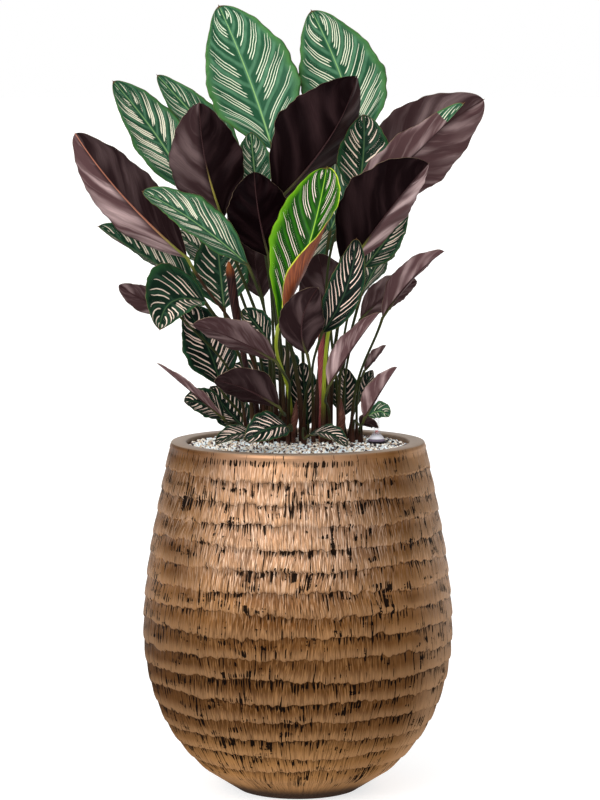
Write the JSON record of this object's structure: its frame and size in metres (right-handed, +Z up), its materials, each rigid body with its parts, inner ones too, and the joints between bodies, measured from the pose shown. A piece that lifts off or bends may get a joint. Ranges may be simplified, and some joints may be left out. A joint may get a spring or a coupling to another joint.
{
  "type": "potted prayer plant",
  "caption": "Tall round banded bronze planter filled with gravel-topped granulate, with a striped prayer plant and a water gauge.",
  "frame": {"origin": "centre of the planter's foot, on the surface it stands on", "axes": "+Z up through the planter, -Y towards the front of the picture, +X to its right"},
  "size_m": [0.5756, 0.4395, 1.11],
  "materials": {
    "planter": "satin",
    "gravel": "matte",
    "gauge_housing": "satin",
    "gauge_clear": "gloss",
    "gauge_float": "gloss",
    "leaf_green": "satin",
    "leaf_dark": "satin",
    "leaf_fresh": "satin"
  },
  "bodies": {
    "planter": {"pot": "planter", "substrate": "gravel", "gauge_housing": "gauge_housing", "gauge_sight_tube": "gauge_clear", "leaf_top_left": "leaf_green", "leaf_top_right": "leaf_green", "leaf_centre_dark": "leaf_dark", "leaf_left_upright": "leaf_dark", "leaf_centre_small": "leaf_dark", "leaf_left_long": "leaf_dark", "leaf_right_small_green": "leaf_green", "leaf_right_far": "leaf_dark", "leaf_right_folded": "leaf_dark", "leaf_right_low_dark": "leaf_dark", "leaf_front_striped": "leaf_green", "leaf_new_fresh": "leaf_fresh", "leaf_left_striped": "leaf_green", "leaf_left_back_green": "leaf_green", "leaf_left_back_far": "leaf_green", "leaf_centre_back": "leaf_green", "leaf_left_hooked": "leaf_green", "leaf_left_cup": "leaf_green", "leaf_left_low_dark": "leaf_dark", "leaf_front_left_dark": "leaf_dark", "leaf_front_left_low": "leaf_dark", "leaf_front_dark": "leaf_dark", "leaf_back_low_dark": "leaf_green", "leaf_left_low_green": "leaf_green", "leaf_left_edge_on": "leaf_dark", "leaf_left_lowest": "leaf_green", "leaf_front_lowest": "leaf_green", "leaf_front_left_lowest": "leaf_green", "leaf_front_right_lowest": "leaf_green", "leaf_right_narrow": "leaf_dark", "leaf_right_behind": "leaf_dark", "leaf_front_right_folded": "leaf_dark", "leaf_right_low_folded": "leaf_dark", "leaf_right_tiny": "leaf_dark", "leaf_right_low_green": "leaf_green", "leaf_right_lowest": "leaf_dark", "leaf_right_under": "leaf_green", "leaf_centre_low_green": "leaf_green", "leaf_left_middle": "leaf_green", "leaf_centre_shaded": "leaf_dark", "leaf_centre_low_back": "leaf_green", "leaf_centre_small_back": "leaf_dark", "leaf_right_low_back": "leaf_green", "leaf_back_high_left": "leaf_green", "leaf_back_high_right": "leaf_green", "leaf_back_centre": "leaf_green", "leaf_back_left": "leaf_green", "leaf_back_right": "leaf_green", "leaf_back_low_left": "leaf_green", "leaf_back_low_right": "leaf_green", "leaf_back_lowest": "leaf_green", "spear_brown": "leaf_dark", "spear_pink": "leaf_dark", "spear_low_left": "leaf_dark", "spear_low_right": "leaf_dark"},
    "float": {"gauge_float": "gauge_float"}
  },
  "joints": [
    {"name": "float_slide", "type": "slide", "parent": "planter", "child": "float", "axis": [0, 0, 1], "range_m": [0, 0.04]}
  ]
}
